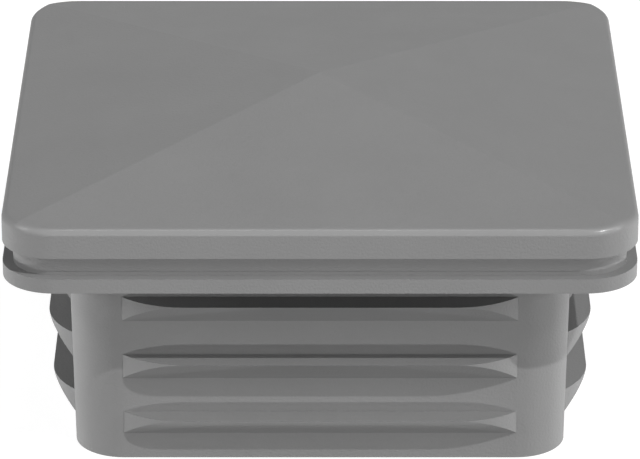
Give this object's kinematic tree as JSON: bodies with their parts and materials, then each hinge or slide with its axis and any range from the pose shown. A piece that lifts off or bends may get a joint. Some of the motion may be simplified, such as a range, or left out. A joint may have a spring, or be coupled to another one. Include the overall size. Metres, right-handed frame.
{
  "type": "tube end cap",
  "caption": "Square tube end cap with a low pyramid head, a grooved edge, a seating flange and a hollow push-in insert with barbed ribs on each face.",
  "frame": {"origin": "centre of the insert's open mouth, where the cap stands on a surface", "axes": "+Z along the tube's axis, out of the tube and towards the head's point; X and Y square to the flat sides"},
  "size_m": [0.06, 0.06, 0.0305],
  "materials": {
    "body": "satin moulded, mid grey, one colour throughout"
  },
  "bodies": {
    "root": {"end_cap": "body"}
  },
  "joints": []
}
